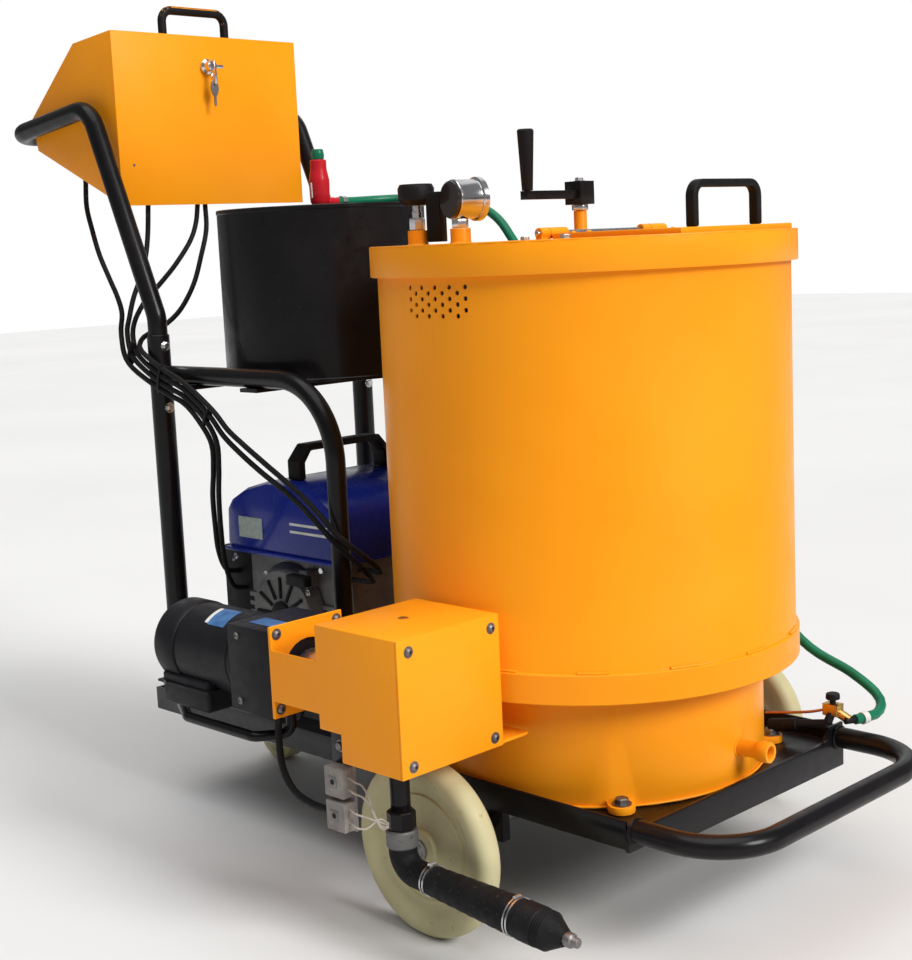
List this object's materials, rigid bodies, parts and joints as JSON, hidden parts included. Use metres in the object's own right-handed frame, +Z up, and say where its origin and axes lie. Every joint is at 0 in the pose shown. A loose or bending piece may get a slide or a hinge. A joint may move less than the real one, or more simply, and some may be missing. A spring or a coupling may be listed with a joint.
{
  "type": "line striping machine",
  "caption": "Walk-behind hot-melt machine with a round heated kettle, side gear pump and swivel nozzle, on a wheeled tray with a generator and a raised control console.",
  "frame": {"origin": "centre of the footprint on the floor, under the middle of the whole machine's box", "axes": "+X forward, the way the bumper and nozzle point; +Y to the machine's left; +Z up; the pump is on the machine's right, -Y"},
  "size_m": [1.2905, 0.691, 1.0937],
  "materials": {
    "yellow_paint": "semi-gloss orange-yellow enamel",
    "black_paint": "satin black enamel",
    "black_plastic": "matt moulded",
    "black_rubber": "matt",
    "green_hose": "smooth green hose",
    "green_plastic": "gloss",
    "dark_steel": "dull",
    "bright_steel": "machined",
    "cast_grey": "as cast",
    "bottle_grey": "matt grey",
    "blue_paint": "gloss dark blue",
    "wheel_urethane": "satin olive-cream urethane",
    "red_paint": "gloss red",
    "red_plastic": "gloss red",
    "ceramic": "unglazed pale ceramic",
    "grey_panel": "matt grey"
  },
  "bodies": {
    "machine_frame": {"kettle_jacket": "yellow_paint", "firebox": "yellow_paint", "kettle_lid": "yellow_paint", "pump_housing": "yellow_paint", "pump_cover": "yellow_paint", "console_shell": "yellow_paint", "chassis_frame": "black_paint", "bumper_loop": "black_paint", "side_frame_right": "black_paint", "side_frame_left": "black_paint", "push_handle": "black_paint", "drum_shelf": "black_paint", "gas_drum": "black_paint", "gearbox": "black_paint", "motor_body": "black_paint", "guard_bar": "black_paint", "outlet_pipe": "black_paint", "torch_bracket": "black_paint", "generator_strap": "black_plastic", "torch_body": "black_plastic", "cable_1": "black_rubber", "cable_2": "black_rubber", "cable_3": "black_rubber", "cable_4": "black_rubber", "motor_cable": "black_rubber", "gas_hose": "green_hose", "inner_pot": "dark_steel", "front_axle": "dark_steel", "valve_body": "dark_steel", "hatch_hinge_pin": "bright_steel", "thermometer": "bright_steel", "pump_case": "cast_grey", "engine_block": "cast_grey", "gas_bottle": "bottle_grey", "fuel_tank": "blue_paint", "regulator_body": "red_paint", "terminal_block": "ceramic", "control_panel": "grey_panel"},
    "wheel_right": {"front_wheel_right": "wheel_urethane"},
    "wheel_left": {"front_wheel_left": "wheel_urethane"},
    "caster_swivel": {"caster_fork": "bright_steel"},
    "caster_roller": {"caster_wheel": "wheel_urethane"},
    "hatch": {"hatch_cover": "yellow_paint"},
    "agitator": {"agitator_shaft": "bright_steel", "crank_arm": "black_plastic"},
    "crank_handle": {"crank_grip": "black_plastic"},
    "valve_handle": {"valve_lever": "black_plastic"},
    "drive_line": {"drive_gear": "bright_steel", "shaft_coupling": "black_rubber"},
    "idler": {"idler_gear": "bright_steel"},
    "nozzle": {"nozzle_wand": "black_rubber", "nozzle_tip": "bright_steel"},
    "tank_cap": {"fuel_cap": "black_plastic"},
    "starter": {"starter_grip": "black_plastic"},
    "door": {"console_door": "yellow_paint"},
    "lock": {"lock_key": "bright_steel"},
    "stop_button": {"emergency_stop": "red_plastic"},
    "speed_dial": {"speed_knob": "black_plastic"},
    "regulator_dial": {"regulator_knob": "green_plastic"},
    "torch_dial": {"torch_knob": "black_plastic"}
  },
  "joints": [
    {"name": "wheel_right_roll", "type": "hinge", "parent": "machine_frame", "child": "wheel_right", "pos_m": [0.2992, -0.2435, 0.1], "axis": [0, 1, 0], "continuous": true},
    {"name": "wheel_left_roll", "type": "hinge", "parent": "machine_frame", "child": "wheel_left", "pos_m": [0.2992, 0.3285, 0.1], "axis": [0, 1, 0], "continuous": true},
    {"name": "caster_swivel", "type": "hinge", "parent": "machine_frame", "child": "caster_swivel", "pos_m": [-0.2908, 0.0425, 0.1181], "axis": [0, 0, 1], "continuous": true},
    {"name": "caster_roll", "type": "hinge", "parent": "caster_swivel", "child": "caster_roller", "pos_m": [-0.3128, 0.0425, 0.04], "axis": [0, 1, 0], "continuous": true},
    {"name": "hatch_hinge", "type": "hinge", "parent": "machine_frame", "child": "hatch", "pos_m": [0.3332, 0.0425, 0.75], "axis": [0, -1, 0], "range_deg": [0, 90]},
    {"name": "agitator_turn", "type": "hinge", "parent": "machine_frame", "child": "agitator", "pos_m": [0.2992, 0.0425, 0.774], "axis": [0, 0, 1], "continuous": true},
    {"name": "crank_grip_spin", "type": "hinge", "parent": "agitator", "child": "crank_handle", "pos_m": [0.2992, -0.0455, 0.7973], "axis": [0, 0, 1], "continuous": true},
    {"name": "valve_turn", "type": "hinge", "parent": "machine_frame", "child": "valve_handle", "pos_m": [0.1492, -0.0725, 0.7888], "axis": [0, 0, 1], "range_deg": [0, 90]},
    {"name": "pump_drive", "type": "hinge", "parent": "machine_frame", "child": "drive_line", "pos_m": [0.2992, -0.2948, 0.291], "axis": [1, 0, 0], "continuous": true},
    {"name": "pump_idler", "type": "hinge", "parent": "machine_frame", "child": "idler", "pos_m": [0.2992, -0.2948, 0.2646], "axis": [1, 0, 0], "continuous": true},
    {"name": "nozzle_swivel", "type": "hinge", "parent": "machine_frame", "child": "nozzle", "pos_m": [0.3122, -0.2925, 0.1192], "axis": [0, 0, 1], "range_deg": [-80, 6]},
    {"name": "fuel_cap_turn", "type": "hinge", "parent": "machine_frame", "child": "tank_cap", "pos_m": [-0.1068, 0.1425, 0.4463], "axis": [0, 0, 1], "range_deg": [0, 90]},
    {"name": "starter_pull", "type": "slide", "parent": "machine_frame", "child": "starter", "axis": [0, -1, 0], "range_m": [0, 0.1]},
    {"name": "door_hinge", "type": "hinge", "parent": "machine_frame", "child": "door", "pos_m": [-0.3885, 0.0425, 0.815], "axis": [0, 1, 0], "range_deg": [0, 55]},
    {"name": "lock_turn", "type": "hinge", "parent": "door", "child": "lock", "pos_m": [-0.3885, 0.0385, 1.008], "axis": [1, 0, 0], "range_deg": [0, 90]},
    {"name": "stop_twist", "type": "hinge", "parent": "machine_frame", "child": "stop_button", "pos_m": [-0.55778, 0.1275, 0.99289], "axis": [-0.6, 0, 0.8], "range_deg": [0, 45]},
    {"name": "speed_turn", "type": "hinge", "parent": "machine_frame", "child": "speed_dial", "pos_m": [-0.55778, 0.0125, 0.99289], "axis": [-0.6, 0, 0.8], "range_deg": [0, 270]},
    {"name": "regulator_turn", "type": "hinge", "parent": "machine_frame", "child": "regulator_dial", "pos_m": [-0.1588, 0.0425, 0.8623], "axis": [0, 0, 1], "range_deg": [0, 270]},
    {"name": "torch_valve_turn", "type": "hinge", "parent": "machine_frame", "child": "torch_dial", "pos_m": [0.5152, 0.2175, 0.1923], "axis": [0, 0, 1], "range_deg": [0, 270]}
  ],
  "couplings": [
    {"joint": "pump_idler", "follows": "pump_drive", "ratio": -1}
  ]
}
